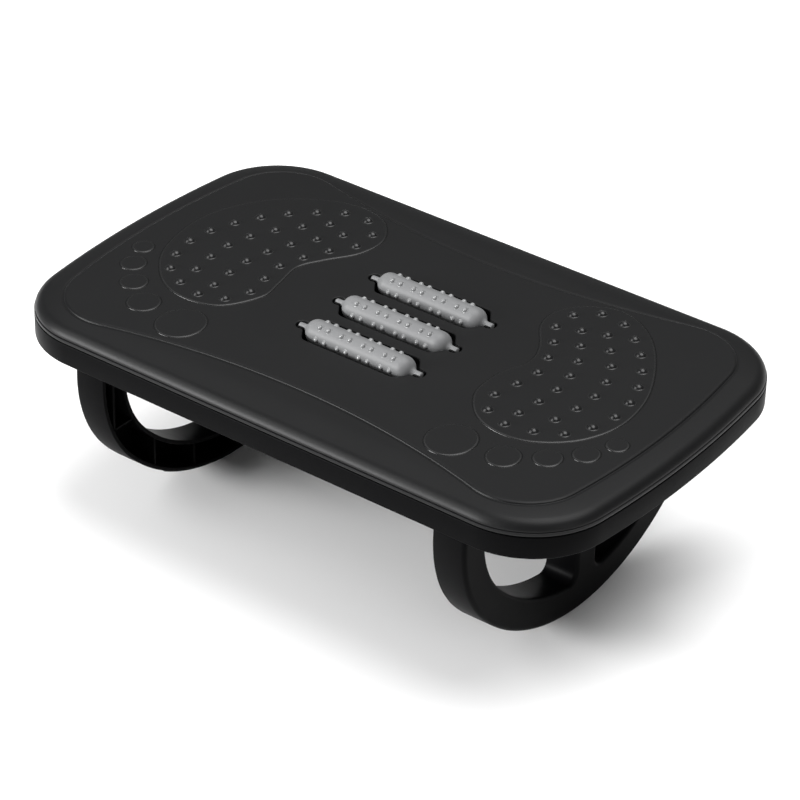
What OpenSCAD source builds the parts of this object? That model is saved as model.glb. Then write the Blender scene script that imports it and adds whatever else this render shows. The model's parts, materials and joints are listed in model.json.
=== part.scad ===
// Rocking under-desk footrest with three massage rollers.
// Millimetres. +X runs along the long side, +Y from the toes to the heels, +Z up.
// The origin is on the floor, under the middle of the deck.

/* [Deck] */
// Length of the deck
deck_l = 450; // [420:1:480]
// Width of the deck
deck_w = 276.5; // [268:0.5:290]
// Radius of the four plan corners
corner_r = 58.8; // [50:0.1:64]
// Radius of the two bowed ends
end_r = 742; // [600:1:1200]
// Height of the skirt below the parting line
skirt_h = 16.4; // [14:0.2:18]
// Wall thickness of the mouldings
wall = 2.6; // [2.2:0.1:3]

/* [Rockers] */
// Rolling radius, which is also the height of its centre above the floor
rock_r = 150; // [140:1:165]
// Distance from the middle of the deck to a rocker's outer face
rocker_x = 155.5; // [150:0.5:158]
// Width of a rocker
rocker_w = 24; // [20:0.5:28]
// Width of the strut between the two windows
strut_w = 22; // [18:1:30]
// Thickness of the rubber that stands proud of the rocker
grip_proud = 1; // [0.6:0.1:1.4]

/* [Rollers] */
// Radius of a roller's body
roller_r = 8.4; // [7.5:0.1:9]
// Height of the massage nubs
nub_h = 1.4; // [1:0.1:2]
// Distance from one roller's axis to the next
roller_pitch = 38; // [36:0.5:42]
// Radius of a roller's end pins
pin_r = 2.6; // [2.4:0.05:2.8]

/* [Footprints] */
// Width of a stud at its foot
stud_w = 7; // [5:0.1:8]
// Height of a stud
stud_h = 2.2; // [1.5:0.1:2.6]
// Studs in the ring round each sole
ring_studs = 20; // [16:1:22]
// Studs in each of the two inner rows
row_studs = 7; // [5:1:7]

/* [Hidden] */
$fn = 48;
end_fn = 360;

black = "#26272a";
dark = "#1b1c1e";
rubber = "#141414";
grey = "#a5a7a8";
steel = "#c4c6c8";

// Heights
skirt_z = rock_r - 26.6;
part_z = skirt_z + skirt_h;
crown_h = 10.6;
crown_z = part_z + crown_h;
panel_h = 0.7;
panel_z = crown_z + panel_h;
print_h = 0.5;
print_z = panel_z + print_h;
floor_z = skirt_z + 8;
floor_t = 2.4;
floor_top = floor_z + floor_t;

// Rolled edge: a nose arc that turns into a flatter crown arc
nose_r = 9;
crown_r = 100;
nose_turn = asin((crown_r - crown_h) / (crown_r - nose_r));
edge_in = nose_r + (crown_r - nose_r) * cos(nose_turn);

// Plan of the deck: the centre of each end arc and of each corner arc
end_cx = deck_l / 2 - end_r;
corner_y = deck_w / 2 - corner_r;
corner_x = end_cx + sqrt(pow(end_r - corner_r, 2) - corner_y * corner_y);
end_half = asin(corner_y / (end_r - corner_r));

// Raised panel with a waist on both long sides
panel_x = 206;
panel_end_r = 560;
panel_corner_r = 41;
waist_y = 99.5;
waist_r = 550;

// Slots for the rollers
slot_half_w = 14.2;
slot_half_l = 36.5;
slot_neck_x = 44;
slot_neck_half = 3.2;
slot_round = 3;
notch_x = 46.3;
notch_r = 4.6;

// Rollers
axis_z = panel_z - 1.2;
body_half = 35.5;
shoulder_r = 6;
shoulder_turn = 50;
pin_end = 48.9;
pin_round = 0.9;
shell_t = 2;
axle_r = 1.5;
axle_half = 46.5;
nub_r = 1.7;
nub_rows = 6;
nub_pairs = 4;
nub_pair_pitch = 17.3;
nub_gap = 6.8;
run_gap = 0.05;

// Roller tray
tray_l = 112;
tray_w = 116;
tray_t = 2;
post_w = 12;
clip_t = 3.8;
clip_half_w = 3.9;
clip_top = axis_z + 1;
mouth_half = 2.35;

// Rockers
rim_r = rock_r - grip_proud;
end_blend_r = 96;
end_blend_turn = 41.2;
blend_c = (rim_r - end_blend_r) * [cos(end_blend_turn), -sin(end_blend_turn)];
rim_t = 2.8;
web_t = 3;
window_r = 127;
window_round = 7;
window_top = skirt_z - 11;
rocker_top = skirt_z - 0.3;
beam_half = deck_w / 2 - 6;
rib_t = 2;
side_rib_z = 77;

// Grip strips
grip_w = 18;
grip_depth = 1.5;
grip_half_turn = 30;
grip_x = rocker_x - rocker_w + 1.5;

// Screws
screw_r = 1.5;
screw_head_r = 3;
screw_head_h = 1.8;
boss_r = 4.5;
boss_hole_r = screw_r + run_gap;
cover_screws_xy = [for (x = [-190, -75, 75, 190]) for (y = [-95, 95]) [x, y]];
tray_screws_xy = [for (x = [-30, 30]) for (y = [-52, 52]) [x, y]];
rocker_screws_y = [-104, -24, 24, 104];
rocker_mid_x = rocker_x - rocker_w / 2;

// Points along an arc about c from angle a to angle b
function arc(c, r, a, b, n = 10) =
    [for (i = [0:n]) c + r * [cos(a + (b - a) * i / n), sin(a + (b - a) * i / n)]];

function mirror_x(points) = [for (i = [len(points) - 1:-1:0]) [-points[i].x, points[i].y]];

// Catmull-Rom point at t of the stretch from b to c
function spline(a, b, c, d, t) =
    0.5 * (2 * b + (c - a) * t + (2 * a - 5 * b + 4 * c - d) * t * t
        + (3 * b - a - 3 * c + d) * t * t * t);

function closed_curve(p, n = 6) =
    [for (i = [0:len(p) - 1]) for (k = [0:n - 1])
        spline(p[(i - 1 + len(p)) % len(p)], p[i], p[(i + 1) % len(p)], p[(i + 2) % len(p)], k / n)];

function open_curve(p, n = 6) = concat(
    [for (i = [0:len(p) - 2]) for (k = [0:n - 1])
        spline(p[max(i - 1, 0)], p[i], p[i + 1], p[min(i + 2, len(p) - 1)], k / n)],
    [p[len(p) - 1]]);

// Distance travelled along a list of points, up to point i
function travelled(p, i) = i == 0 ? 0 : travelled(p, i - 1) + norm(p[i] - p[i - 1]);

// n points evenly spaced along a list of points, with or without its last end
function spaced(p, n, closed) =
    let (
        run = closed ? concat(p, [p[0]]) : p,
        at = [for (i = [0:len(run) - 1]) travelled(run, i)],
        step = at[len(at) - 1] / (closed ? n : n - 1)
    )
    [for (i = [0:n - 1]) [
        lookup(i * step, [for (k = [0:len(run) - 1]) [at[k], run[k].x]]),
        lookup(i * step, [for (k = [0:len(run) - 1]) [at[k], run[k].y]])
    ]];

// Footprints, drawn for the +X side: the two sole outlines, then the stud ring, the two
// inner rows and the five toes that both share
left_sole = [
    [104, 106], [84, 98.5], [71, 79], [73, 56], [86, 34], [94, 16], [90, -8], [88, -28],
    [102, -54], [126, -61.5], [151, -54], [174, -29], [184.5, 5], [183.5, 38], [169.5, 69],
    [149, 90], [126, 103]
];
right_sole = [
    [104, 105], [84, 97], [70.5, 79], [72, 58], [87, 35], [92, 17], [85.5, -7], [87, -34],
    [103, -55], [125, -62.5], [147, -58], [168, -40], [179, -14], [178.5, 14], [169, 43],
    [149, 76], [127, 97]
];
stud_ring = [
    [95.5, 93.5], [114, 92], [143.5, 67], [163.5, 34], [171, -4], [157, -39], [123, -52],
    [105, -45.5], [98, -28], [104, 10], [91, 45.5], [81, 62], [82, 81]
];
outer_row = [[113, 74], [137.5, 42], [148, 8], [144, -28.5]];
inner_row = [[97, 68], [117, 34.5], [125, 1], [122, -36.5]];
// Each toe: centre x, centre y, half width, half length
toes = [
    [190, -27.8, 7.4, 7.8], [181, -48.1, 8.7, 9.5], [165.1, -66.1, 9.4, 9.9],
    [143.2, -81.6, 11.1, 12], [107.6, -86.6, 16.4, 18.4]
];
studs = concat(
    spaced(closed_curve(stud_ring), ring_studs, true),
    spaced(open_curve(outer_row), row_studs, false),
    spaced(open_curve(inner_row), row_studs, false));

// Filled plan of the deck, moved in by inset
module deck_plan(inset) {
    quarter = concat(
        arc([end_cx, 0], end_r - inset, 0, end_half, 6),
        arc([corner_x, corner_y], corner_r - inset, end_half + 4, 90, 20));
    half = concat(quarter, mirror_x(quarter));
    polygon(concat(half, [for (i = [len(half) - 2:-1:1]) [half[i].x, -half[i].y]]));
}

// Sweeps a section round the edge of the deck. The section is drawn with x = 0 at the
// outer face and x < 0 inside.
module round_the_edge() {
    for (sx = [-1, 1]) scale([sx, 1, 1]) {
        for (sy = [-1, 1]) scale([1, sy, 1]) translate([corner_x, corner_y, 0])
            rotate([0, 0, end_half]) rotate_extrude(angle = 90 - end_half)
                translate([corner_r, 0]) children();
        translate([end_cx, 0, 0]) rotate([0, 0, -end_half])
            rotate_extrude(angle = 2 * end_half, $fn = end_fn) translate([end_r, 0]) children();
    }
    for (sy = [-1, 1]) scale([1, sy, 1]) translate([-corner_x, deck_w / 2, 0])
        rotate([90, 0, 90]) linear_extrude(2 * corner_x) children();
}

// Section of the top cover's rolled edge, t thinner than the outer face
function edge_curve(t) =
    let (
        nose_c = [-nose_r, part_z],
        crown_c = nose_c - (crown_r - nose_r) * [cos(nose_turn), sin(nose_turn)]
    )
    concat(
        arc(nose_c, nose_r - t, 0, nose_turn, 6),
        arc(crown_c, crown_r - t, nose_turn + 4, 90, 3));

module edge_section() {
    polygon(concat(
        edge_curve(0),
        [[-edge_in - 4, crown_z], [-edge_in - 4, crown_z - wall]],
        [for (i = [len(edge_curve(wall)) - 1:-1:0]) edge_curve(wall)[i]],
        [[-wall, part_z - 0.4], [-0.5, part_z - 0.4], [-0.5, part_z]]));
}

// Panel plan: end arcs, corner arcs and waist arcs that meet in tangents
function panel_corner() =
    let (
        a = [panel_x - panel_end_r, 0],
        ra = panel_end_r - panel_corner_r,
        b = [0, waist_y + waist_r],
        rb = waist_r + panel_corner_r,
        d = norm(b - a),
        u = (b - a) / d,
        h = (ra * ra - rb * rb + d * d) / (2 * d)
    )
    a + h * u + sqrt(ra * ra - h * h) * [u.y, -u.x];

function panel_quarter() =
    let (
        c = panel_corner(),
        end_c = [panel_x - panel_end_r, 0],
        end_a = atan2(c.y, c.x - end_c.x),
        waist_c = [0, waist_y + waist_r],
        waist_a = atan2(c.y - waist_c.y, c.x)
    )
    concat(
        arc(end_c, panel_end_r, 0, end_a, 5),
        arc(c, panel_corner_r, end_a + 6, waist_a + 180, 12),
        arc(waist_c, waist_r, waist_a - 1, -90, 8));

module panel_plan() {
    quarter = panel_quarter();
    half = concat(quarter, mirror_x(quarter));
    polygon(concat(half, [for (i = [len(half) - 2:-1:1]) [half[i].x, -half[i].y]]));
}

module slot_plan() {
    offset(r = slot_round) offset(delta = -slot_round) polygon([
        for (s = [[1, 1], [-1, 1], [-1, -1], [1, -1]])
            for (p = s.x * s.y > 0
                    ? [[slot_neck_x + 4, slot_neck_half], [slot_neck_x, slot_neck_half],
                        [slot_half_l, slot_half_w]]
                    : [[slot_half_l, slot_half_w], [slot_neck_x, slot_neck_half],
                        [slot_neck_x + 4, slot_neck_half]])
                [s.x * p.x, s.y * p.y]]);
    for (s = [-1, 1]) translate([s * notch_x, 0]) circle(notch_r);
}

module ellipse_plan(half_w, half_l) {
    polygon([for (a = [0:15:345]) [half_w * cos(a), half_l * sin(a)]]);
}

// Spherical cap that stands on z = 0 and reaches a little below it
module stud() {
    cap_r = (stud_w * stud_w / 4 + stud_h * stud_h) / (2 * stud_h);
    rotate_extrude($fn = 24) intersection() {
        translate([0, stud_h - cap_r]) circle(cap_r);
        translate([0, -0.3]) square([stud_w, stud_h + 1]);
    }
}

module screw(length) {
    cylinder(r = screw_r, h = length);
    translate([0, 0, -screw_head_h]) cylinder(r1 = screw_head_r - 0.6, r2 = screw_head_r, h = screw_head_h);
}

module top_cover() color(black) difference() {
    union() {
        round_the_edge() edge_section();
        translate([0, 0, crown_z - wall - 0.2]) linear_extrude(wall + 0.2) deck_plan(edge_in + 2);
        translate([0, 0, panel_z - wall]) linear_extrude(wall) panel_plan();
        translate([0, 0, panel_z - 0.5]) linear_extrude(print_h + 0.5) for (s = [-1, 1]) scale([s, 1]) {
            polygon(closed_curve(s < 0 ? left_sole : right_sole));
            for (t = toes) translate([t[0], t[1]]) ellipse_plan(t[2], t[3]);
        }
        for (s = [-1, 1]) for (p = studs) translate([s * p.x, p.y, print_z]) stud();
        for (p = cover_screws_xy) translate([p.x, p.y, floor_top])
            cylinder(r = boss_r, h = crown_z - wall / 2 - floor_top);
        for (x = [-110, 110]) translate([x, 0, panel_z - wall - 3])
            cube([2, 190, 7], center = true);
        for (y = [-60, 60]) translate([0, y, panel_z - wall - 3])
            cube([300, 2, 7], center = true);
    }
    for (i = [-1:1]) translate([0, i * roller_pitch, crown_z - 12]) linear_extrude(20) slot_plan();
    for (p = cover_screws_xy) translate([p.x, p.y, floor_top - 1]) cylinder(r = boss_hole_r, h = 12);
}

module base_frame() color(black) difference() {
    union() {
        translate([0, 0, skirt_z]) linear_extrude(skirt_h - 1) difference() {
            deck_plan(0);
            deck_plan(wall + 0.6);
        }
        translate([0, 0, part_z - 2]) linear_extrude(1.4) difference() {
            deck_plan(1);
            deck_plan(wall + 0.6);
        }
        translate([0, 0, floor_z]) linear_extrude(floor_t) deck_plan(wall);
        for (x = [-198, -108, -54, 0, 54, 108, 198]) translate([x, 0, floor_z - 3])
            cube([rib_t, deck_w - (abs(x) > 180 ? 60 : 5), 7], center = true);
        for (y = [-90, -30, 30, 90]) translate([0, y, floor_z - 3])
            cube([2 * (rocker_x - rocker_w - 1.5), rib_t, 7], center = true);
        for (s = [-1, 1]) for (y = [-90, -30, 30, 90]) translate([s * (rocker_x + 28), y, floor_z - 3])
            cube([54, rib_t, 7], center = true);
    }
    for (p = concat(cover_screws_xy, tray_screws_xy)) translate([p.x, p.y, floor_z - 8])
        cylinder(r = boss_hole_r, h = 20);
    for (p = concat(cover_screws_xy, tray_screws_xy)) translate([p.x, p.y, floor_z - 8])
        cylinder(r = screw_head_r + 1, h = 8);
    for (s = [-1, 1]) for (y = rocker_screws_y) translate([s * rocker_mid_x, y, floor_z - 1])
        cylinder(r = boss_hole_r, h = 6);
}

module roller_tray() color(dark) difference() {
    union() {
        translate([-tray_l / 2, -tray_w / 2, floor_top]) cube([tray_l, tray_w, tray_t]);
        for (p = tray_screws_xy) translate([p.x, p.y, floor_top]) cylinder(r = boss_r, h = 6);
        for (s = [-1, 1]) for (i = [-1:1]) translate([s * notch_x, i * roller_pitch, 0]) {
            translate([-clip_t / 2, -post_w / 2, floor_top])
                cube([clip_t, post_w, panel_z - wall - 1 - floor_top]);
            translate([-clip_t / 2, -clip_half_w, floor_top])
                cube([clip_t, 2 * clip_half_w, clip_top - floor_top]);
        }
    }
    for (s = [-1, 1]) for (i = [-1:1]) translate([s * notch_x, i * roller_pitch, axis_z]) {
        rotate([0, 90, 0]) cylinder(r = pin_r + run_gap, h = clip_t + 1, center = true);
        translate([0, 0, 3]) cube([clip_t + 1, 2 * mouth_half, 6], center = true);
    }
    for (p = tray_screws_xy) translate([p.x, p.y, floor_top - 1]) cylinder(r = boss_hole_r, h = 8);
}

// Rocker profile in the YZ plane, drawn with x along Y and y along Z, moved in by inset
module rocker_profile(inset = 0) {
    end_top = asin((rocker_top - inset - rock_r - blend_c.y) / (end_blend_r - inset));
    half = concat(
        arc([0, 0], rim_r - inset, -90, -end_blend_turn, 24),
        arc(blend_c, end_blend_r - inset, 2 - end_blend_turn, end_top, 18));
    translate([0, rock_r]) polygon(concat(half, mirror_x(half)));
}

// Window on the +Y side, grown by grow. Its far end runs parallel to the rocker's own.
module window_profile(grow = 0) {
    big = window_r + grow;
    tip_r = end_blend_r - rim_r + window_r + grow;
    small = window_round + grow;
    side = strut_w / 2 - grow;
    top = window_top + grow - rock_r;
    low_c = [side + small, -sqrt(pow(big - small, 2) - pow(side + small, 2))];
    low_a = atan2(low_c.y, low_c.x);
    far_c = [blend_c.x + sqrt(pow(tip_r - small, 2) - pow(top - small - blend_c.y, 2)), top - small];
    far_a = atan2(far_c.y - blend_c.y, far_c.x - blend_c.x);
    translate([0, rock_r]) polygon(concat(
        arc(low_c, small, 180, 360 + low_a, 6),
        arc([0, 0], big, low_a + 3, -end_blend_turn, 14),
        arc(blend_c, tip_r, 3 - end_blend_turn, far_a - 3, 8),
        arc(far_c, small, far_a, 90, 6),
        arc([side + small, top - small], small, 90, 180, 6)));
}

module along_x(from, length) {
    translate([from, 0, 0]) rotate([90, 0, 90]) linear_extrude(length) children();
}

// Right rocker: the outer web faces +X, the channel and its ribs are open towards -X
module rocker() color(black) difference() {
    inner_x = rocker_x - rocker_w;
    union() {
        along_x(rocker_x - web_t, web_t) rocker_profile();
        along_x(inner_x, rocker_w) difference() {
            rocker_profile();
            rocker_profile(rim_t);
        }
        for (s = [-1, 1]) scale([1, s, 1]) along_x(inner_x, rocker_w) difference() {
            window_profile(web_t);
            window_profile();
        }
        translate([inner_x, -beam_half, rocker_top - 1])
            cube([rocker_w, 2 * beam_half, floor_z - rocker_top + 1]);
        along_x(inner_x + 1.5, rocker_w - 2) intersection() {
            rocker_profile(1);
            union() {
                for (y = [-124, -85, -45, 0, 45, 85, 124]) translate([y - rib_t / 2, 0])
                    square([rib_t, rock_r]);
                for (y = [-112, 112]) translate([y - 15, side_rib_z]) square([30, rib_t]);
            }
        }
        for (y = rocker_screws_y) translate([rocker_mid_x, y, window_top + web_t - 0.5])
            cylinder(r = boss_r, h = floor_z - window_top - web_t);
    }
    for (s = [-1, 1]) scale([1, s, 1]) along_x(inner_x - 1, rocker_w + 2) window_profile();
    translate([grip_x - run_gap, 0, rock_r]) grip_band(grip_w + 2 * run_gap, rim_r - grip_depth, rock_r + 1,
        grip_half_turn + 0.1);
    for (y = rocker_screws_y) translate([rocker_mid_x, y, floor_z - 14])
        cylinder(r = boss_hole_r, h = 15);
}

// Band round the X axis, centred on straight down
module grip_band(width, inner, outer, half_turn) {
    rotate([0, 90, 0]) rotate([0, 0, -half_turn]) rotate_extrude(angle = 2 * half_turn, $fn = end_fn)
        translate([inner, 0]) square([outer - inner, width]);
}

module left_rocker() scale([-1, 1, 1]) rocker();
module right_rocker() rocker();

module grip_strip() color(rubber) translate([grip_x, 0, rock_r])
    grip_band(grip_w, rim_r - grip_depth + run_gap, rock_r, grip_half_turn);
module left_grip_strip() scale([-1, 1, 1]) grip_strip();
module right_grip_strip() grip_strip();

// Half of a roller's outline: body, round shoulder, cone and pin
function roller_outline() =
    let (
        shoulder = arc([body_half, roller_r - shoulder_r], shoulder_r, 90, 90 - shoulder_turn, 6),
        last = shoulder[len(shoulder) - 1],
        run = (last.y - pin_r) / tan(shoulder_turn)
    )
    concat(shoulder, [[last.x + run, pin_r]],
        arc([pin_end - pin_round, pin_r - pin_round], pin_round, 90, 0, 4),
        [[pin_end, 0]]);

module roller_solid() {
    half = roller_outline();
    rotate([0, 90, 0]) rotate_extrude() rotate([0, 0, -90]) polygon(concat(half, mirror_x(half)));
    for (row = [0:nub_rows - 1]) for (k = [0:nub_pairs - 1]) for (s = [-1, 1])
        rotate([row * 360 / nub_rows + 30, 0, 0])
            translate([(k - (nub_pairs - 1) / 2) * nub_pair_pitch + s * nub_gap / 2, 0,
                roller_r + nub_h - nub_r]) sphere(nub_r, $fn = 24);
}

// One half shell of a roller, above (s = 1) or below (s = -1) its axis
module roller_shell(s) color(grey) difference() {
    roller_solid();
    difference() {
        rotate([0, 90, 0]) cylinder(r = roller_r - shell_t, h = 2 * body_half - 4, center = true);
        for (x = [-nub_pair_pitch, 0, nub_pair_pitch]) translate([x, 0, 0])
            cube([1.6, 2 * roller_r, 2 * roller_r], center = true);
    }
    rotate([0, 90, 0]) cylinder(r = axle_r + run_gap, h = 2 * axle_half + 0.4, center = true);
    translate([0, 0, -s * 20]) cube([120, 40, 40], center = true);
}

module roller_axle() color(steel) rotate([0, 90, 0]) cylinder(r = axle_r, h = 2 * axle_half, center = true);

module at_roller(i) translate([0, i * roller_pitch, axis_z]) children();

module front_roller_upper_shell() at_roller(-1) roller_shell(1);
module front_roller_lower_shell() at_roller(-1) roller_shell(-1);
module front_roller_axle() at_roller(-1) roller_axle();
module middle_roller_upper_shell() at_roller(0) roller_shell(1);
module middle_roller_lower_shell() at_roller(0) roller_shell(-1);
module middle_roller_axle() at_roller(0) roller_axle();
module rear_roller_upper_shell() at_roller(1) roller_shell(1);
module rear_roller_lower_shell() at_roller(1) roller_shell(-1);
module rear_roller_axle() at_roller(1) roller_axle();

module cover_screws() color(steel) for (p = cover_screws_xy) translate([p.x, p.y, floor_z]) screw(12);
module tray_screws() color(steel) for (p = tray_screws_xy) translate([p.x, p.y, floor_z]) screw(8);

module rocker_screws() color(steel) for (y = rocker_screws_y)
    translate([rocker_mid_x, y, floor_top]) scale([1, 1, -1]) screw(14);
module left_rocker_screws() scale([-1, 1, 1]) rocker_screws();
module right_rocker_screws() rocker_screws();

top_cover();
base_frame();
roller_tray();
left_rocker();
right_rocker();
left_grip_strip();
right_grip_strip();
front_roller_upper_shell();
front_roller_lower_shell();
front_roller_axle();
middle_roller_upper_shell();
middle_roller_lower_shell();
middle_roller_axle();
rear_roller_upper_shell();
rear_roller_lower_shell();
rear_roller_axle();
cover_screws();
tray_screws();
left_rocker_screws();
right_rocker_screws();
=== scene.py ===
"""Rocking under-desk footrest with three massage rollers, dressed over its CAD frame.

Lengths are in millimetres until a mesh is built. +X runs along the long side, +Y from the
toes to the heels, +Z up, with the floor at z = 0.
"""

import json
import math

import bmesh
import bpy
import numpy as np
from mathutils import Matrix, Vector
from mathutils.geometry import delaunay_2d_cdt


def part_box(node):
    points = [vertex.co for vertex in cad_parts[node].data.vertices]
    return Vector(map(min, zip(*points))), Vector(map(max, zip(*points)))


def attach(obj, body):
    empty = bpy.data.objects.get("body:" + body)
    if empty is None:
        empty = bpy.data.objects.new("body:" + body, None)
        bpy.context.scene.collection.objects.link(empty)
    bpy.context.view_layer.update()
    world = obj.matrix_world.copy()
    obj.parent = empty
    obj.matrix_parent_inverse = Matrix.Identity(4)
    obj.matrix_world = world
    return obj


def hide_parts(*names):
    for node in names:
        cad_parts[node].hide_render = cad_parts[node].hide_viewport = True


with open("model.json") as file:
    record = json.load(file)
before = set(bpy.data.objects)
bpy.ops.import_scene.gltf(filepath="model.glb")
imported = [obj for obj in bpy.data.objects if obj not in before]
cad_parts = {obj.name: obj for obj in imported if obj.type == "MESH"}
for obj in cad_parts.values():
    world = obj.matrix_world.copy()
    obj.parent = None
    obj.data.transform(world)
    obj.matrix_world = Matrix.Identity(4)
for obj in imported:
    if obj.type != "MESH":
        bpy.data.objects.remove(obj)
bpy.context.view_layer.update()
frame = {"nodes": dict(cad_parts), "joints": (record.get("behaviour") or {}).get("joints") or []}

MM = 0.001
DEG = math.pi / 180


def mm(metres):
    """A length from the frame in millimetres, to the nearest hundredth."""
    return round(metres / MM, 2)


def box_mm(node):
    """Lowest and highest corners of a CAD node at rest, in millimetres."""
    return [[mm(c) for c in corner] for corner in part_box(node)]


joint_at = {joint["name"]: joint["pos_m"] for joint in frame["joints"]}
base_low, base_high = box_mm("base_frame")
cover_low, cover_high = box_mm("top_cover")
rocker_low, rocker_high = box_mm("right_rocker")

# Heights, from the floor up
PLATE_Z = (rocker_high[2], cover_low[2])
SKIRT_Z = base_low[2]
PART_Z = base_high[2] + 0.6
STUD_RISE = 2.2
PRINT_Z = cover_high[2] - STUD_RISE
PANEL_Z = PRINT_Z - 0.5
CROWN_Z = PANEL_Z - 0.7
WALL = 2.6
CEILING_Z = CROWN_Z - WALL - 0.2

# Deck plan and rolled edge
DECK_L, DECK_W = 2 * base_high[0], 2 * base_high[1]
END_R, CORNER_R = 742.0, 58.8
NOSE_R, CROWN_R = 9.0, 100.0
CORNER_Y = DECK_W / 2 - CORNER_R
END_CX = DECK_L / 2 - END_R
CORNER_X = END_CX + math.sqrt((END_R - CORNER_R) ** 2 - CORNER_Y**2)
END_HALF = math.asin(CORNER_Y / (END_R - CORNER_R))
NOSE_TURN = math.asin((CROWN_R - (CROWN_Z - PART_Z)) / (CROWN_R - NOSE_R))
NOSE_END = NOSE_R * (1 - math.cos(NOSE_TURN))
EDGE_IN = NOSE_R + (CROWN_R - NOSE_R) * math.cos(NOSE_TURN)
COVER_SCREWS = [(x, y) for x in (-190, -75, 75, 190) for y in (-95, 95)]
TRAY_SCREWS = [(x, y) for x in (-30, 30) for y in (-52, 52)]

# Rollers
ROLLER_PITCH = mm(joint_at["rear_roller_spin"][1])
AXIS_Z = mm(joint_at["middle_roller_spin"][2])
PIN_END = box_mm("middle_roller_upper_shell")[1][0]
BODY_R = 8.4

# Rockers: arcs about the rolling centre, with tighter blends at both ends
ROCK_R = 150.0
RIM_R, BLEND_R, BLEND_TURN = ROCK_R - 1.0, 96.0, 41.2 * DEG
BLEND_C = ((RIM_R - BLEND_R) * math.cos(BLEND_TURN), -(RIM_R - BLEND_R) * math.sin(BLEND_TURN))
ROCKER_X = rocker_high[0]
ROCKER_IN = rocker_low[0]
ROCKER_TOP = SKIRT_Z - 0.3
RIM_T, WEB_T, EDGE_ROUND = 2.8, 3.0, 3.0
WINDOW_R, WINDOW_ROUND, STRUT_HALF, BAR_T = 127.0, 7.0, 11.0, 11.0


# ---------------------------------------------------------------- meshes


class Shape:
    """Points and faces gathered before they become one mesh."""

    def __init__(self):
        self.points, self.faces, self.glossy = [], [], set()

    def loop(self, points):
        """Add points, and return their indices."""
        start = len(self.points)
        self.points += [tuple(p) for p in points]
        return list(range(start, start + len(points)))

    def skin(self, rows, polished=False):
        """Quads between each closed row of points and the next."""
        first = len(self.faces)
        for a, b in zip(rows, rows[1:]):
            n = len(a)
            for i in range(n):
                j = (i + 1) % n
                self.faces.append((a[i], a[j], b[j], b[i]))
        if polished:
            self.glossy.update(range(first, len(self.faces)))

    def fill(self, outer, holes=(), flat="xy"):
        """Triangles over the region between an outer loop and its holes."""
        u, v = {"xy": (0, 1), "yz": (1, 2)}[flat]
        index, spots, edges = [], [], []
        for loop in (outer, *holes):
            start = len(index)
            index += loop
            spots += [Vector((self.points[i][u], self.points[i][v])) for i in loop]
            edges += [(start + k, start + (k + 1) % len(loop)) for k in range(len(loop))]
        _, _, triangles, source, _, _ = delaunay_2d_cdt(spots, edges, [], 0, 1e-7)
        where = np.array(spots)
        p0, p1 = where[[e[0] for e in edges]], where[[e[1] for e in edges]]
        # A triangle is kept if a ray from its middle crosses the loops an odd number of times
        for tri in triangles:
            corners = [source[k][0] for k in tri]
            x, y = where[corners].mean(axis=0)
            spans = (p0[:, 1] > y) != (p1[:, 1] > y)
            a, b = p0[spans], p1[spans]
            crossing = a[:, 0] + (y - a[:, 1]) / (b[:, 1] - a[:, 1]) * (b[:, 0] - a[:, 0])
            if (crossing > x).sum() % 2:
                self.faces.append(tuple(index[k] for k in corners))

    def fan(self, row, tip, polished=False):
        """Triangles from a closed row to one new point."""
        first, n = len(self.faces), len(row)
        (tip_index,) = self.loop([tip])
        for i in range(n):
            self.faces.append((row[i], row[(i + 1) % n], tip_index))
        if polished:
            self.glossy.update(range(first, len(self.faces)))

    def box(self, lo, hi, bevel=0.3):
        """Box with chamfered edges."""
        lo, hi = Vector(lo), Vector(hi)
        rows = []
        for z, k in ((lo.z, bevel), (lo.z + bevel, 0), (hi.z - bevel, 0), (hi.z, bevel)):
            rows.append(self.loop([
                (lo.x + k + bevel, lo.y + k, z), (hi.x - k - bevel, lo.y + k, z),
                (hi.x - k, lo.y + k + bevel, z), (hi.x - k, hi.y - k - bevel, z),
                (hi.x - k - bevel, hi.y - k, z), (lo.x + k + bevel, hi.y - k, z),
                (lo.x + k, hi.y - k - bevel, z), (lo.x + k, lo.y + k + bevel, z),
            ]))
        self.skin(rows)
        self.faces.append(tuple(rows[0]))
        self.faces.append(tuple(rows[-1]))

    def build(self, name, body, material, nodes, sharp=38.0, flip_x=False, polish=None):
        """One smooth-shaded piece that rides on a body and stands for CAD nodes."""
        mesh = bpy.data.meshes.new(name)
        side = -1 if flip_x else 1
        points = [(side * x * MM, y * MM, z * MM) for x, y, z in self.points]
        mesh.from_pydata(points, [], self.faces)
        bm = bmesh.new()
        bm.from_mesh(mesh)
        bmesh.ops.recalc_face_normals(bm, faces=bm.faces)
        bm.to_mesh(mesh)
        bm.free()
        mesh.polygons.foreach_set("use_smooth", [True] * len(mesh.polygons))
        mesh.set_sharp_from_angle(angle=sharp * DEG)
        mesh.materials.append(material)
        if polish:
            mesh.materials.append(polish)
            chosen = [int(i in self.glossy) for i in range(len(mesh.polygons))]
            mesh.polygons.foreach_set("material_index", chosen)
        obj = bpy.data.objects.new(name, mesh)
        bpy.context.scene.collection.objects.link(obj)
        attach(obj, body)
        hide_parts(*nodes)


def arc(centre, radius, start, stop, steps):
    """Points from one angle to another, both ends included."""
    return [
        (
            centre[0] + radius * math.cos(start + (stop - start) * i / steps),
            centre[1] + radius * math.sin(start + (stop - start) * i / steps),
        )
        for i in range(steps + 1)
    ]


def line(a, b, steps):
    """Points after a, up to and with b."""
    return [
        (a[0] + (b[0] - a[0]) * i / steps, a[1] + (b[1] - a[1]) * i / steps)
        for i in range(1, steps + 1)
    ]


def circle(centre, radius, n):
    """n points round a circle, from +X."""
    return arc(centre, radius, 0, 2 * math.pi * (n - 1) / n, n - 1)


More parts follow.
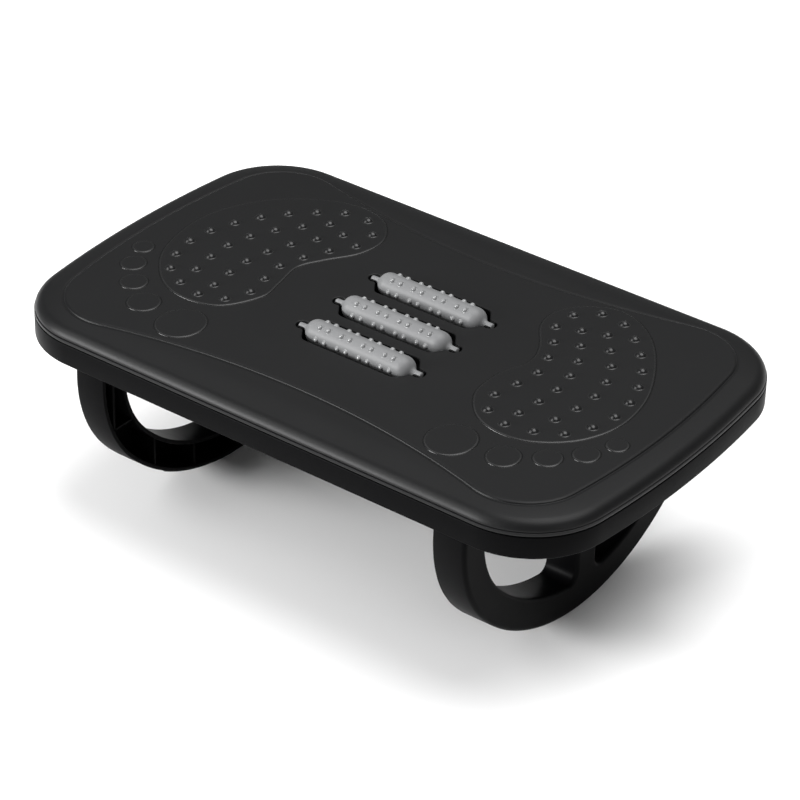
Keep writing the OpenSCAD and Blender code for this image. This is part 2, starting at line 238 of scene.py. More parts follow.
def four(quarter):
    """Whole loop from the quarter between +X and +Y."""
    flip_x = [(-x, y) for x, y in reversed(quarter)]
    under = [(-x, -y) for x, y in quarter]
    flip_y = [(x, -y) for x, y in reversed(quarter)]
    return quarter + flip_x[1:] + under[1:] + flip_y[1:-1]


def spline(a, b, c, d, t):
    """Point between b and c on a Catmull-Rom curve."""
    return tuple(
        0.5 * (2 * q + (r - p) * t + (2 * p - 5 * q + 4 * r - s) * t * t
               + (3 * q - p - 3 * r + s) * t**3)
        for p, q, r, s in zip(a, b, c, d)
    )


def closed_curve(p, n):
    """Smooth loop through the points, with n steps between each two."""
    m = len(p)
    return [
        spline(p[i - 1], p[i], p[(i + 1) % m], p[(i + 2) % m], k / n)
        for i in range(m) for k in range(n)
    ]


def open_curve(p, n):
    """Smooth run from the first point to the last, with n steps between each two."""
    last = len(p) - 1
    return [
        spline(p[max(i - 1, 0)], p[i], p[i + 1], p[min(i + 2, last)], k / n)
        for i in range(last) for k in range(n)
    ] + [p[last]]


def spaced(points, n, closed):
    """n points evenly spaced along a run of points."""
    run = points + points[:1] if closed else points
    at = [0.0]
    for a, b in zip(run, run[1:]):
        at.append(at[-1] + math.dist(a, b))
    step = at[-1] / (n if closed else n - 1)
    found, k = [], 0
    for i in range(n):
        want = min(i * step, at[-1])
        while k < len(run) - 2 and at[k + 1] < want:
            k += 1
        t = (want - at[k]) / (at[k + 1] - at[k])
        found.append(tuple(a + (b - a) * t for a, b in zip(run[k], run[k + 1])))
    return found


def area(loop):
    """Signed area, positive for a loop that turns from +X to +Y."""
    return sum(a[0] * b[1] - b[0] * a[1] for a, b in zip(loop, loop[1:] + loop[:1])) / 2


def grown(loop, by):
    """Loop moved out by that distance along its own normals."""
    turn = 1 if area(loop) > 0 else -1
    moved = []
    for i, p in enumerate(loop):
        a, b = loop[i - 1], loop[(i + 1) % len(loop)]
        n0 = Vector((p[1] - a[1], a[0] - p[0])).normalized()
        n1 = Vector((b[1] - p[1], p[0] - b[0])).normalized()
        n = (n0 + n1).normalized()
        k = by * turn / max(n.dot(n0), 0.5)
        moved.append((p[0] + n.x * k, p[1] + n.y * k))
    return moved


# ---------------------------------------------------------------- outlines


def deck_columns():
    """Points round the deck's outer edge, each with its inward direction."""
    rim = [(END_CX, 0.0, END_R, a) for a in (END_HALF * i / 16 for i in range(16))]
    span = math.pi / 2 - END_HALF
    rim += [(CORNER_X, CORNER_Y, CORNER_R, END_HALF + span * i / 36) for i in range(36)]
    quarter = [
        ((cx + r * math.cos(a), cy + r * math.sin(a)), (-math.cos(a), -math.sin(a)))
        for cx, cy, r, a in rim
    ]
    quarter += [((CORNER_X * (1 - i / 34), DECK_W / 2), (0.0, -1.0)) for i in range(35)]
    loop = list(quarter)
    loop += [((-p[0], p[1]), (-n[0], n[1])) for p, n in reversed(quarter)][1:]
    loop += [((-p[0], -p[1]), (-n[0], -n[1])) for p, n in quarter][1:]
    loop += [((p[0], -p[1]), (n[0], -n[1])) for p, n in reversed(quarter)][1:-1]
    return loop


def panel_outline():
    """Raised panel: end arcs, corner arcs and waist arcs that meet in tangents."""
    panel_x, waist_y = 206.0, 99.5
    end_r, corner_r, waist_r = 560.0, 41.0, 550.0
    end_c = (panel_x - end_r, 0.0)
    waist_c = (0.0, waist_y + waist_r)
    ra, rb = end_r - corner_r, waist_r + corner_r
    gap = Vector(waist_c) - Vector(end_c)
    d, u = gap.length, gap.normalized()
    h = (ra * ra - rb * rb + d * d) / (2 * d)
    c = Vector(end_c) + u * h + Vector((u.y, -u.x)) * math.sqrt(ra * ra - h * h)
    end_a = math.atan2(c.y, c.x - end_c[0])
    waist_a = math.atan2(c.y - waist_c[1], c.x)
    quarter = arc(end_c, end_r, 0, end_a, 40)
    quarter += arc(c, corner_r, end_a, waist_a + math.pi, 60)[1:]
    quarter += arc(waist_c, waist_r, waist_a, -math.pi / 2, 80)[1:]
    return four(quarter)


def reach(point, way, loop):
    """Distance from a point to a loop along a direction."""
    best = None
    for a, b in zip(loop, loop[1:] + loop[:1]):
        ex, ey = b[0] - a[0], b[1] - a[1]
        cross = way[0] * ey - way[1] * ex
        if abs(cross) < 1e-9:
            continue
        px, py = a[0] - point[0], a[1] - point[1]
        t = (px * ey - py * ex) / cross
        u = (px * way[1] - py * way[0]) / cross
        if t > 0 and -1e-6 <= u <= 1 + 1e-6 and (best is None or t < best):
            best = t
    return best


def slot_outline():
    """Roller slot: straight sides, tapered shoulders and a round notch at each end."""
    half_l, half_w, notch_x, notch_r = 36.5, 14.2, 46.3, 4.6
    fillet, round_r = 2.2, 6.0
    neck, shoulder = Vector((44.0, 3.2)), Vector((half_l, half_w))
    way = (neck - shoulder).normalized()
    out = Vector((-way.y, way.x))

    # Fillet between the notch and the shoulder's slope
    start = shoulder + out * fillet - Vector((notch_x, 0))
    b = start.dot(way)
    t = -b - math.sqrt(b * b - start.length_squared + (notch_r + fillet) ** 2)
    centre = shoulder + out * fillet + way * t
    on_line = centre - out * fillet
    to_notch = Vector((notch_x, 0)) - centre
    quarter = arc((notch_x, 0), notch_r, 0, math.atan2(-to_notch.y, -to_notch.x), 18)
    a0 = math.atan2(to_notch.y, to_notch.x) % (2 * math.pi)
    a1 = math.atan2(on_line.y - centre.y, on_line.x - centre.x) % (2 * math.pi)
    quarter += arc(centre, fillet, a0, a1, 8)[1:]

    # Rounded shoulder
    out_a = math.atan2(out.y, out.x)
    back = round_r * math.tan((math.pi / 2 - out_a) / 2)
    corner_c = (half_l - back, half_w - round_r)
    first = (corner_c[0] + round_r * out.x, corner_c[1] + round_r * out.y)
    quarter += line(quarter[-1], first, 8)
    quarter += arc(corner_c, round_r, out_a, math.pi / 2, 8)[1:]
    quarter += line(quarter[-1], (0.0, half_w), 24)
    return four(quarter)


# Footprints, drawn for the +X side
LEFT_SOLE = [
    (104, 106), (84, 98.5), (71, 79), (73, 56), (86, 34), (94, 16), (90, -8), (88, -28),
    (102, -54), (126, -61.5), (151, -54), (174, -29), (184.5, 5), (183.5, 38), (169.5, 69),
    (149, 90), (126, 103),
]
RIGHT_SOLE = [
    (104, 105), (84, 97), (70.5, 79), (72, 58), (87, 35), (92, 17), (85.5, -7), (87, -34),
    (103, -55), (125, -62.5), (147, -58), (168, -40), (179, -14), (178.5, 14), (169, 43),
    (149, 76), (127, 97),
]
STUD_RING = [
    (95.5, 93.5), (114, 92), (143.5, 67), (163.5, 34), (171, -4), (157, -39), (123, -52),
    (105, -45.5), (98, -28), (104, 10), (91, 45.5), (81, 62), (82, 81),
]
STUD_ROWS = [
    [(113, 74), (137.5, 42), (148, 8), (144, -28.5)],
    [(97, 68), (117, 34.5), (125, 1), (122, -36.5)],
]
# Each toe: centre x, centre y, half width, half length
TOES = [
    (190, -27.8, 7.4, 7.8), (181, -48.1, 8.7, 9.5), (165.1, -66.1, 9.4, 9.9),
    (143.2, -81.6, 11.1, 12), (107.6, -86.6, 16.4, 18.4),
]


def stud_places():
    """Studs in a ring round the sole and in two rows inside it."""
    places = spaced(closed_curve(STUD_RING, 8), 20, True)
    for row in STUD_ROWS:
        places += spaced(open_curve(row, 8), 7, False)
    return places


def edge_z(d):
    """Height of the rolled edge at inset d."""
    if d < NOSE_END:
        return PART_Z + math.sqrt(NOSE_R**2 - (NOSE_R - d) ** 2)
    if d < EDGE_IN:
        return CROWN_Z - CROWN_R + math.sqrt(CROWN_R**2 - (EDGE_IN - d) ** 2)
    return CROWN_Z


# ---------------------------------------------------------------- top cover


def raised(shape, loop, foot_z, top_z, width=1.3, steps=6, outside=0.5):
    """Rounded step along a loop, with a fine groove at its foot.

    Returns the loop on the floor outside it and the one on top.
    """
    rise = top_z - foot_z
    rows = [
        shape.loop([(x, y, foot_z - dip) for x, y in grown(loop, by)])
        for by, dip in ((outside, 0), (outside - 0.1, 0), (0.26, 0.12), (0.08, 0.08))
    ]
    for i in range(steps + 1):
        a = math.pi / 2 * i / steps
        ring = grown(loop, -width * (1 - math.cos(a)))
        rows.append(shape.loop([(x, y, foot_z + rise * math.sin(a)) for x, y in ring]))
    rows.append(shape.loop([(x, y, top_z) for x, y in grown(loop, -width - 0.35)]))
    shape.skin(rows[:4])
    shape.skin(rows[3:-1], polished=True)
    shape.skin(rows[-2:])
    return rows[0], rows[-1]


def stud(shape, x, y):
    """Domed stud with a small fillet at its foot. Returns its foot ring."""
    foot, half_turn, steps = 3.5, 57 * DEG, 9
    cap_r = (foot * foot + STUD_RISE * STUD_RISE) / (2 * STUD_RISE)
    profile = [(4.2, 0.0), (4.0, 0.0), (3.76, 0.05), (3.52, 0.2)]
    for i in range(steps):
        a = half_turn * (1 - i / steps)
        profile.append((cap_r * math.sin(a), STUD_RISE - cap_r + cap_r * math.cos(a)))
    rows = [
        shape.loop([(px, py, PRINT_Z + z) for px, py in circle((x, y), d, 32)])
        for d, z in profile
    ]
    shape.skin(rows, polished=True)
    shape.fan(rows[-1], (x, y, PRINT_Z + STUD_RISE), polished=True)
    return rows[0]


def top_cover(material, polish):
    """Hollow cover: rolled edge, raised panel, roller slots and studded footprints."""
    shape = Shape()
    columns = deck_columns()
    panel = panel_outline()
    reaches = [reach(p, n, panel) for p, n in columns]

    def row(insets, heights):
        return shape.loop([
            (p[0] + n[0] * d, p[1] + n[1] * d, z)
            for (p, n), d, z in zip(columns, insets, heights)
        ])

    def ring(d, z):
        return row([d] * len(columns), [z] * len(columns))

    # Lip, bead and groove of the parting line, as (inset, height over it)
    lip = [
        (WALL, -0.4), (1.0, -0.4), (0.5, -0.36), (0.18, -0.2), (0.04, 0.1), (0.04, 1.45),
        (0.14, 1.75), (0.4, 1.92), (0.95, 1.98), (1.2, 2.12), (1.2, 2.42), (0.95, 2.52),
        (0.6, 2.6),
    ]
    rows = [ring(d, PART_Z + z) for d, z in lip]

    # Nose, then the crown up to the raised panel
    for i in range(1, 17):
        a = (0.235 + 0.765 * i / 16) * NOSE_TURN
        rows.append(ring(NOSE_R * (1 - math.cos(a)), PART_Z + NOSE_R * math.sin(a)))
    for i in range(1, 15):
        insets = [NOSE_END + (t - 1.8 - NOSE_END) * i / 14 for t in reaches]
        rows.append(row(insets, [edge_z(d) for d in insets]))

    # Shallow groove at the panel's foot, and its rounded step
    step_w = 2.3
    for back_off, dip in ((1.5, 0.05), (1.0, 0.26), (0.5, 0.4), (0.05, 0.3)):
        insets = [t - back_off for t in reaches]
        rows.append(row(insets, [edge_z(d) - dip for d in insets]))
    feet = [edge_z(t) - 0.15 for t in reaches]
    for i in range(8):
        a = math.pi / 2 * i / 7
        rows.append(row(
            [t + 0.1 + step_w * (1 - math.cos(a)) for t in reaches],
            [z + (PANEL_Z - z) * math.sin(a) for z in feet]))
    rows.append(row([t + 2.6 for t in reaches], [PANEL_Z] * len(columns)))
    shape.skin(rows)
    panel_edge = rows[-1]

    # Inner face up to the flat ceiling
    inner = [rows[0]]
    r = NOSE_R - WALL
    for i in range(1, 9):
        a = NOSE_TURN * i / 8
        inner.append(ring(NOSE_R - r * math.cos(a), PART_Z + r * math.sin(a)))
    r = CROWN_R - WALL
    for i in range(1, 5):
        a = NOSE_TURN + (math.pi / 2 - NOSE_TURN) * i / 5
        inner.append(ring(EDGE_IN - r * math.cos(a), CROWN_Z - CROWN_R + r * math.sin(a)))
    inner.append(ring(EDGE_IN + 1, CEILING_Z))
    shape.skin(inner)

    # Roller slots, with rounded rims
    holes, low_holes = [], []
    rim = [(1.3, 0.0), (0.9, 0.0), (0.52, 0.08), (0.22, 0.28), (0.05, 0.6), (0.0, 1.0)]
    for i in (-1, 0, 1):
        base = [(x, y + i * ROLLER_PITCH) for x, y in slot_outline()]
        walls = [shape.loop([(x, y, PANEL_Z - z) for x, y in grown(base, g)]) for g, z in rim]
        walls.append(shape.loop([(x, y, CEILING_Z) for x, y in base]))
        shape.skin(walls)
        holes.append(walls[0])
        low_holes.append(walls[-1])
    shape.fill(inner[-1], low_holes)

    # Footprints
    for side, outline in ((-1, LEFT_SOLE), (1, RIGHT_SOLE)):
        sole = [(side * x, y) for x, y in closed_curve(outline, 14)]
        foot, top = raised(shape, sole, PANEL_Z, PRINT_Z)
        holes.append(foot)
        shape.fill(top, [stud(shape, side * x, y) for x, y in stud_places()])
        for x, y, half_w, half_l in TOES:
            oval = [
                (side * (x + half_w * px), y + half_l * py) for px, py in circle((0, 0), 1, 72)
            ]
            foot, top = raised(shape, oval, PANEL_Z, PRINT_Z)
            holes.append(foot)
            shape.fill(top)
    shape.fill(panel_edge, holes)

    # Screw bosses and stiffening ribs under the ceiling
    rib_z = (142, 149)
    boss = ((1.6, 146), (1.6, PLATE_Z[1]), (4.5, PLATE_Z[1]), (4.7, CEILING_Z + 1))
    for place in COVER_SCREWS:
        shape.skin([
            shape.loop([(x, y, z) for x, y in circle(place, r, 32)]) for r, z in boss
        ])
    for x in (-110, 110):
        shape.box((x - 1, -95, rib_z[0]), (x + 1, 95, rib_z[1]))
    for y in (-60, 60):
        shape.box((-150, y - 1, rib_z[0]), (150, y + 1, rib_z[1]))
    shape.build("deck_cover", "deck", material, ["top_cover"], polish=polish)


# ---------------------------------------------------------------- base


def base_frame(material):
    """Skirt and plate that close the deck from below."""
    shape = Shape()
    columns = deck_columns()

    def ring(d, z):
        return shape.loop([(p[0] + n[0] * d, p[1] + n[1] * d, z) for p, n in columns])

    # Skirt, as (inset, height), from its lower inside edge round to where it started
    section = [
        (3.2, SKIRT_Z + 0.3), (2.9, SKIRT_Z), (0.9, SKIRT_Z), (0.42, SKIRT_Z + 0.14),
        (0.12, SKIRT_Z + 0.45), (0.0, SKIRT_Z + 0.95), (0.0, PART_Z - 1.55), (0.06, PART_Z - 1.28),
        (0.24, PART_Z - 1.08), (0.5, PART_Z - 1.0), (1.1, PART_Z - 1.0), (1.1, PART_Z - 0.6),
        (3.2, PART_Z - 0.6),
    ]
    rows = [ring(d, z) for d, z in section]
    shape.skin(rows + rows[:1])

    # Plate with its screw holes, countersunk from below
    low, high = ring(3.0, PLATE_Z[0]), ring(3.0, PLATE_Z[1])
    shape.skin([low, high])
    under, over = [], []
    countersunk = ((3.4, PLATE_Z[0]), (1.6, PLATE_Z[0] + 0.4), (1.6, PLATE_Z[1]))
    for place in COVER_SCREWS + TRAY_SCREWS:
        hole = [
            shape.loop([(x, y, z) for x, y in circle(place, r, 24)]) for r, z in countersunk
        ]
        shape.skin(hole)
        under.append(hole[0])
        over.append(hole[-1])
    shape.fill(low, under)
    shape.fill(high, over)

    # Ribs under the plate, clear of the rockers
    low_z, top_z = PLATE_Z[0] - 4.5, PLATE_Z[0] + 0.2
    for x in (-198, -108, -54, 0, 54, 108, 198):
        half = (DECK_W - (60 if abs(x) > 180 else 5)) / 2
        shape.box((x - 1, -half, low_z), (x + 1, half, top_z))
    inner = ROCKER_IN - 1.5
    for y in (-90, -30, 30, 90):
        shape.box((-inner, y - 1, low_z), (inner, y + 1, top_z))
        for side in (-1, 1):
            a, b = side * (ROCKER_X + 1), side * (ROCKER_X + 55)
            shape.box((min(a, b), y - 1, low_z), (max(a, b), y + 1, top_z))
    shape.build("deck_base", "deck", material, ["base_frame"])


# ---------------------------------------------------------------- rockers


def rocker_profile(inset, top=ROCKER_TOP):
    """Loop in the YZ plane, moved in by inset, with its flat top at the given height."""
    end_top = math.asin((top - ROCK_R - BLEND_C[1]) / (BLEND_R - inset))
    half = arc((0, 0), RIM_R - inset, -math.pi / 2, -BLEND_TURN, 48)
    half += arc(BLEND_C, BLEND_R - inset, -BLEND_TURN, end_top, 36)[1:]
    half += line(half[-1], (0.0, top - ROCK_R), 40)
    whole = half + [(-y, z) for y, z in reversed(half)][1:-1]
    return [(y, z + ROCK_R) for y, z in whole]


def window(side, grow):
    """Window between the rim and the strut, on one side of it, grown all round by grow."""
    big, small = WINDOW_R + grow, WINDOW_ROUND + grow
    tip_r = BLEND_R - RIM_R + big
    edge, top = STRUT_HALF - grow, SKIRT_Z - BAR_T + grow - ROCK_R
    low = (edge + small, -math.sqrt((big - small) ** 2 - (edge + small) ** 2))
    rise = top - small - BLEND_C[1]
    far = (BLEND_C[0] + math.sqrt((tip_r - small) ** 2 - rise * rise), top - small)
    far_a = math.asin(rise / (tip_r - small))
    loop = arc(low, small, math.pi, 2 * math.pi + math.atan2(low[1], low[0]), 14)
    loop += arc((0, 0), big, math.atan2(low[1], low[0]), -BLEND_TURN, 32)[1:]
    loop += arc(BLEND_C, tip_r, -BLEND_TURN, far_a, 22)[1:]
    loop += arc(far, small, far_a, math.pi / 2, 16)[1:]
    near = (edge + small, top - small)
    loop += line(loop[-1], (near[0], top), 30)
    loop += arc(near, small, math.pi / 2, math.pi, 12)[1:]
    loop += line(loop[-1], (edge, low[1]), 20)[:-1]
    return [(side * y, z + ROCK_R) for y, z in loop]


def rocker(name, material, left):
    """C-section leg: web on the outside, channel with ribs on the inside."""
    shape = Shape()
    web_x = ROCKER_X - WEB_T
    soft, softer = 0.18, 0.6

    def at(x, loop):
        return shape.loop([(x, y, z) for y, z in loop])

    def rim(x, inset, drop):
        return at(x, rocker_profile(inset, ROCKER_TOP - drop))

    outer = [
        rim(ROCKER_IN, softer, softer), rim(ROCKER_IN + soft, soft, soft),
        rim(ROCKER_IN + softer, 0, 0), rim(ROCKER_X - 3.2, 0, 0),
    ]
    for i in range(1, 8):
        a = math.pi / 2 * i / 7
        x = ROCKER_X - EDGE_ROUND * (1 - math.sin(a))
        outer.append(rim(x, EDGE_ROUND * (1 - math.cos(a)), 0))
    outer.append(rim(ROCKER_X, EDGE_ROUND + 0.5, 0))
    shape.skin(outer)

    inner = [
        outer[0], rim(ROCKER_IN, RIM_T - softer, 4 - softer),
        rim(ROCKER_IN + soft, RIM_T - soft, 4 - soft), rim(ROCKER_IN + softer, RIM_T, 4),
        rim(web_x, RIM_T, 4),
    ]
    shape.skin(inner)

    # Windows: rounded on the outer face, with a collar on the inner side
    collar = [
        (softer, 0), (soft, soft), (0, softer), (0, WEB_T - softer), (soft, WEB_T - soft),
        (softer, WEB_T),
    ]
    faces, floors = [], []
    for side in (-1, 1):
        rows = [at(ROCKER_X, window(side, EDGE_ROUND + 0.5))]
        for i in range(8):
            a = math.pi / 2 * i / 7
            x = ROCKER_X - EDGE_ROUND * (1 - math.cos(a))
            rows.append(at(x, window(side, EDGE_ROUND * (1 - math.sin(a)))))
        rows += [at(ROCKER_IN + dx, window(side, grow)) for dx, grow in collar]
        rows.append(at(web_x, window(side, WEB_T)))
        shape.skin(rows)
        faces.append(rows[0])
        floors.append(rows[-1])
    shape.fill(outer[-1], faces, "yz")
    shape.fill(inner[-1], floors, "yz")

    def rim_z(y, inset):
        if abs(y) < (RIM_R - inset) * math.cos(BLEND_TURN):
            return ROCK_R - math.sqrt((RIM_R - inset) ** 2 - y * y)
        off = abs(y) - BLEND_C[0]
        return ROCK_R + BLEND_C[1] - math.sqrt((BLEND_R - inset) ** 2 - off * off)

    # Ribs across the channel, and the flat top that meets the base
    channel_top = ROCKER_TOP - 4
    ribs = [(0.0, channel_top), (-124.0, channel_top), (124.0, channel_top)]
    ribs += [(s * y, rim_z(y, RIM_R - WINDOW_R - WEB_T)) for s in (-1, 1) for y in (45.0, 85.0)]
    rib_x = (ROCKER_IN + 1.5, web_x + 0.5)
    for y, top in ribs:
        shape.box((rib_x[0], y - 1, rim_z(y, 2.0)), (rib_x[1], y + 1, top + 0.6))
    for lo, hi in ((-125.5, -105.0), (105.0, 125.5)):
        shape.box((rib_x[0], lo, 77), (rib_x[1], hi, 79))
    beam_y = DECK_W / 2 - 6
    shape.box((ROCKER_IN, -beam_y, ROCKER_TOP - 0.8), (ROCKER_X, beam_y, PLATE_Z[0] - 0.02), 0.5)
    shape.build(f"{name}_body", "deck", material, [name], flip_x=left)


def grip_strip(name, material, left):
    """Rubber band in the rocker's rim, with fine cross grooves."""
    shape = Shape()
    x0, x1 = ROCKER_IN + 1.5, ROCKER_IN + 19.5
    half, steps = 30 * DEG, 720
    groove_pitch, groove_depth, groove_half = 4.2, 0.35, 0.16
    rows = []
    for i in range(steps + 1):
        a = -half + 2 * half * i / steps
        groove = 0.0
        if 0 < i < steps:
            off = abs(a * ROCK_R / groove_pitch % 1 - 0.5)
            groove = groove_depth * max(0.0, 1 - off / groove_half) ** 0.5
        r = ROCK_R - groove
        half_section = [
            (0.0, ROCK_R - 2.45), (0.0, ROCK_R - 0.7), (0.2, ROCK_R - 0.2), (0.7, ROCK_R),
            (1.4, r),
        ]
        section = [(x0 + dx, q) for dx, q in half_section]
        section += [(x1 - dx, q) for dx, q in reversed(half_section)]
        rows.append(shape.loop([
            (x, q * math.sin(a), ROCK_R - q * math.cos(a)) for x, q in section
        ]))
    shape.skin(rows)
    shape.faces.append(tuple(rows[0]))
    shape.faces.append(tuple(rows[-1]))
    shape.build(f"{name}_tread", "deck", material, [name], flip_x=left)


# ---------------------------------------------------------------- rollers


def roller_outline():
    """Radius along the roller from its middle to its end, as (x, r)."""
    half, dome, turn, pin, pin_round = 34.2, 8.0, 62 * DEG, 2.1, 0.9
    points = [(0.0, BODY_R)] + line((0.0, BODY_R), (half, BODY_R), 30)
    points += arc((half, BODY_R - dome), dome, math.pi / 2, math.pi / 2 - turn, 16)[1:]
    x, r = points[-1]
    hollow = (r - pin) / (1 - math.cos(turn))
    centre = (x + hollow * math.sin(turn), pin + hollow)
    points += arc(centre, hollow, -math.pi / 2 - turn, -math.pi / 2, 10)[1:]
    end = (PIN_END - pin_round, pin)
    points += line(points[-1], end, 4)
    points += arc((end[0], pin - pin_round), pin_round, math.pi / 2, 0.0, 5)[1:]
    return points


def roller(name, body, y, material, polish):
    """Two half shells with a fine seam, and pairs of nubs in six rows."""
    shape = Shape()
    half = roller_outline()
    outline = [(-x, r) for x, r in reversed(half)][:-1] + half

    def spot(x, r, a):
        """Point at radius r and angle a about the roller's axis."""
        return (x, y + r * math.cos(a), AXIS_Z + r * math.sin(a))

    seam_steps = (-2.2, -1.1, -0.8, 0.8, 1.1, 2.2)
    angles = sorted(
        {2 * math.pi * k / 80 for k in range(80)}
        | {(side + d) * DEG % (2 * math.pi) for side in (0, 180) for d in seam_steps}
    )

    def seam(a, r):
        near = min(abs(math.degrees(a) - s) for s in (0, 180, 360))
        return 0.16 * min(1, r / 4) if near < 1.0 else 0.0

    rows = [shape.loop([spot(x, r - seam(a, r), a) for a in angles]) for x, r in outline]
    shape.skin(rows)
    shape.fan(rows[0], spot(outline[0][0], 0, 0))
    shape.fan(rows[-1], spot(outline[-1][0], 0, 0))

    # Nubs, each wrapped onto the roller's body with a small fillet at its foot
    rise, nub_r, cap, steps = 1.4, 1.7, 76 * DEG, 8
    profile = [(2.2, -0.05), (2.02, 0.02), (1.84, 0.12), (1.72, 0.28)]
    for i in range(steps):
        a = cap * (1 - i / steps)
        profile.append((nub_r * math.sin(a), rise - nub_r + nub_r * math.cos(a)))

    def nub(x0, turn):
        rings = []
        for d, h in profile:
            wrap = BODY_R + max(h, 0) * 0.9
            rings.append(shape.loop([
                spot(x0 + px, BODY_R + h, turn + py / wrap) for px, py in circle((0, 0), d, 24)
            ]))
        shape.skin(rings, polished=True)
        shape.fan(rings[-1], spot(x0, BODY_R + rise, turn), polished=True)

    pair_pitch, half_gap = 17.3, 3.4
    for k in range(6):
        for pair in range(4):
            for s in (-1, 1):
                nub((pair - 1.5) * pair_pitch + s * half_gap, (k * 60 + 120) * DEG)
    # The polish material here is the nubs' lighter grey: a painted highlight as well as a glossier
    # finish
    shape.build(name, body, material,
                [f"{body}_upper_shell", f"{body}_lower_shell"], sharp=50, polish=polish)


# ---------------------------------------------------------------- materials


def plastic(name, tone, rough, specular, grain=900.0, depth=0.06, streak=0.05):
    """Moulded plastic with a fine grain, uneven gloss and faint handling marks."""
    mat = bpy.data.materials.new(name)
    mat.use_nodes = True
    nt = mat.node_tree
    shader = nt.nodes["Principled BSDF"]
    shader.inputs["Base Color"].default_value = (*tone, 1)
    shader.inputs["Roughness"].default_value = rough
    shader.inputs["Specular IOR Level"].default_value = specular
    where = nt.nodes.new("ShaderNodeTexCoord")

    def noise(scale, detail):
        n = nt.nodes.new("ShaderNodeTexNoise")
        n.inputs["Scale"].default_value = scale
        n.inputs["Detail"].default_value = detail
        nt.links.new(where.outputs["Object"], n.inputs["Vector"])
        return n.outputs["Fac"]

    def spread(value, low, high):
        r = nt.nodes.new("ShaderNodeMapRange")
        r.inputs["To Min"].default_value = low
        r.inputs["To Max"].default_value = high
        nt.links.new(value, r.inputs["Value"])
        return r.outputs["Result"]

    cloud = spread(noise(14, 4), rough - streak, rough + streak)
    fine = spread(noise(220, 3), -0.03, 0.03)
    add = nt.nodes.new("ShaderNodeMath")
    nt.links.new(cloud, add.inputs[0])
    nt.links.new(fine, add.inputs[1])
    nt.links.new(add.outputs[0], shader.inputs["Roughness"])
    mix = nt.nodes.new("ShaderNodeMix")
    mix.data_type = "RGBA"
    mix.inputs["A"].default_value = (*[c * 0.88 for c in tone], 1)
    mix.inputs["B"].default_value = (*[min(c * 1.12, 1) for c in tone], 1)
    nt.links.new(noise(30, 5), mix.inputs["Factor"])
    nt.links.new(mix.outputs["Result"], shader.inputs["Base Color"])
    bump = nt.nodes.new("ShaderNodeBump")
    bump.inputs["Strength"].default_value = depth
    bump.inputs["Distance"].default_value = 0.0002
    nt.links.new(noise(grain, 2), bump.inputs["Height"])
    nt.links.new(bump.outputs["Normal"], shader.inputs["Normal"])
    return mat


def metal(name, tone, rough):
    """Steel with the same fine grain and uneven gloss."""
    mat = plastic(name, tone, rough, 0.5, grain=1500, depth=0.05, streak=0.06)
    mat.node_tree.nodes["Principled BSDF"].inputs["Metallic"].default_value = 1.0
    return mat


black = plastic("deck black", (0.005, 0.0051, 0.0054), 0.42, 0.17)
stud_black = plastic("stud black", (0.005, 0.0051, 0.0054), 0.27, 0.4, streak=0.02)
# Darker copy of the deck black for the skirt and rockers: its darker colour is painted shade for
# their side faces, and its low specular level is a real property of the material
shaded_side_black = plastic("shaded side black", (0.0018, 0.0018, 0.002), 0.42, 0.03)
tray_black = plastic("tray black", (0.003, 0.003, 0.0032), 0.45, 0.1)
rubber = plastic("grip rubber", (0.012, 0.012, 0.012), 0.75, 0.3, grain=1600, depth=0.25)
grey = plastic("roller grey", (0.16, 0.162, 0.165), 0.5, 0.35, depth=0.03)
# Lighter copy of the roller grey for the nubs: painted highlight on their tips, along with real
# extra gloss from the lower roughness
lit_nub_grey = plastic("lit nub grey", (0.21, 0.213, 0.216), 0.18, 0.7, depth=0.02, streak=0.02)
steel = metal("steel", (0.62, 0.63, 0.64), 0.3)

# ---------------------------------------------------------------- the object

top_cover(black, stud_black)
# The skirt and the rockers take the darker black, a painted shade
base_frame(shaded_side_black)
rocker("right_rocker", shaded_side_black, left=False)
rocker("left_rocker", shaded_side_black, left=True)
grip_strip("right_grip_strip", rubber, left=False)
grip_strip("left_grip_strip", rubber, left=True)
for i, which in enumerate(("front_roller", "middle_roller", "rear_roller")):
    roller(f"{which}_shells", which, (i - 1) * ROLLER_PITCH, grey, lit_nub_grey)

# CAD nodes that stay: the tray, the axles and the screws
for name, node in frame["nodes"].items():
    if node.hide_render:
        continue
    if name == "roller_tray":
        material, slot = tray_black, "tray_plastic"
    else:
        material, slot = steel, "screw_steel" if "screws" in name else "axle_steel"
    node.data.materials.clear()
    node.data.materials.append(material)

# ---------------------------------------------------------------- floor, light and camera

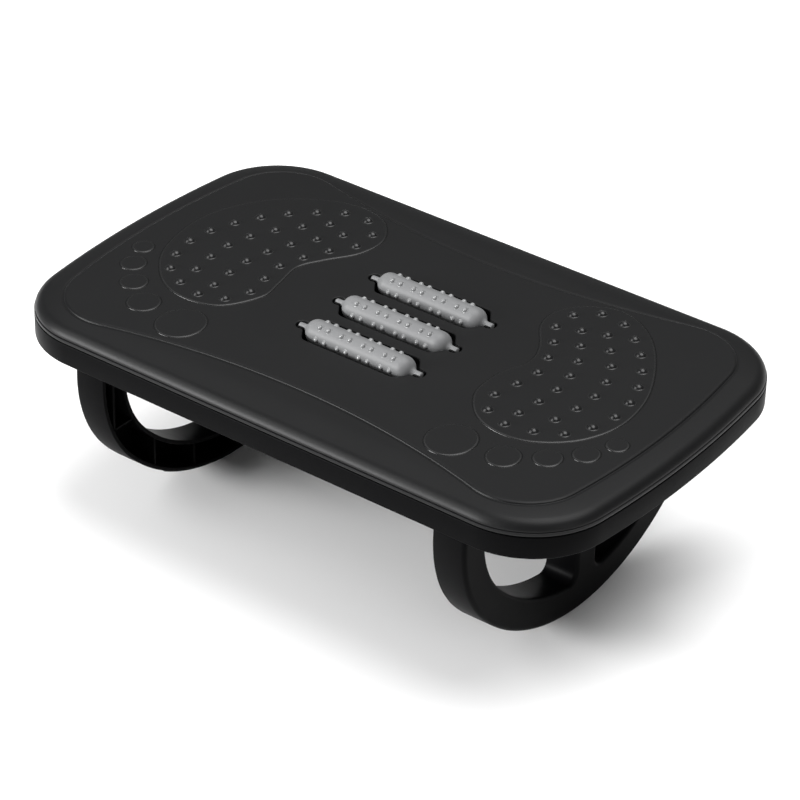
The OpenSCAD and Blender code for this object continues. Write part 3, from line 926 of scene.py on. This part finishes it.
scene = bpy.context.scene
floor_mat = bpy.data.materials.new("floor")
floor_mat.use_nodes = True
floor_shader = floor_mat.node_tree.nodes["Principled BSDF"]
floor_shader.inputs["Base Color"].default_value = (0.93, 0.93, 0.93, 1)
floor_shader.inputs["Roughness"].default_value = 1.0
floor_shader.inputs["Specular IOR Level"].default_value = 0.0
mesh = bpy.data.meshes.new("floor")
mesh.from_pydata([(-8, -8, 0), (8, -8, 0), (8, 8, 0), (-8, 8, 0)], [], [(0, 1, 2, 3)])
mesh.materials.append(floor_mat)
floor = bpy.data.objects.new("floor", mesh)
scene.collection.objects.link(floor)

world = bpy.data.worlds.new("studio")
scene.world = world
world.use_nodes = True
background = world.node_tree.nodes["Background"]
background.inputs["Color"].default_value = (1, 1, 1, 1)
background.inputs["Strength"].default_value = 0.2


def softbox(name, place, width, height, power):
    """Rectangular lamp aimed at the middle of the object."""
    light = bpy.data.lights.new(name, "AREA")
    light.shape = "RECTANGLE"
    light.size, light.size_y = width, height
    light.energy = power
    obj = bpy.data.objects.new(name, light)
    obj.location = place
    aim = Vector((0, 0, 0.1)) - Vector(place)
    obj.rotation_euler = aim.to_track_quat("-Z", "Y").to_euler()
    scene.collection.objects.link(obj)


sun = bpy.data.lights.new("overhead", "SUN")
sun.energy = 2.9
sun.angle = 50 * DEG
overhead = bpy.data.objects.new("overhead", sun)
overhead.rotation_euler = (-12 * DEG, 8 * DEG, 0)
scene.collection.objects.link(overhead)
softbox("key", (-1.6, -2.2, 0.85), 1.5, 0.8, 110)
softbox("brow", (-1.2, -1.3, 1.7), 1.5, 1.1, 20)
softbox("fill", (2.1, -0.4, 1.0), 0.9, 0.9, 4)
softbox("back", (-0.9, 1.4, 2.2), 2.4, 1.4, 9)

# Camera: where it stands, the way it looks, and a slight roll
eye = Vector((1.12126, -1.51412, 1.29724))
azimuth, elevation, roll = 36.417 * DEG, 32.573 * DEG, 1.4766 * DEG
back = Vector((
    math.sin(azimuth) * math.cos(elevation),
    -math.cos(azimuth) * math.cos(elevation),
    math.sin(elevation),
))
level = Vector((math.cos(azimuth), math.sin(azimuth), 0))
rise = back.cross(level)
right = level * math.cos(roll) + rise * math.sin(roll)
up = rise * math.cos(roll) - level * math.sin(roll)
camera = bpy.data.objects.new("camera", bpy.data.cameras.new("camera"))
camera.data.lens = 154.71
camera.data.sensor_width = 36
camera.data.clip_start, camera.data.clip_end = 0.05, 60
camera.matrix_world = Matrix.LocRotScale(eye, Matrix((right, up, back)).transposed(), None)
scene.collection.objects.link(camera)
scene.camera = camera
scene.view_settings.view_transform = "Standard"
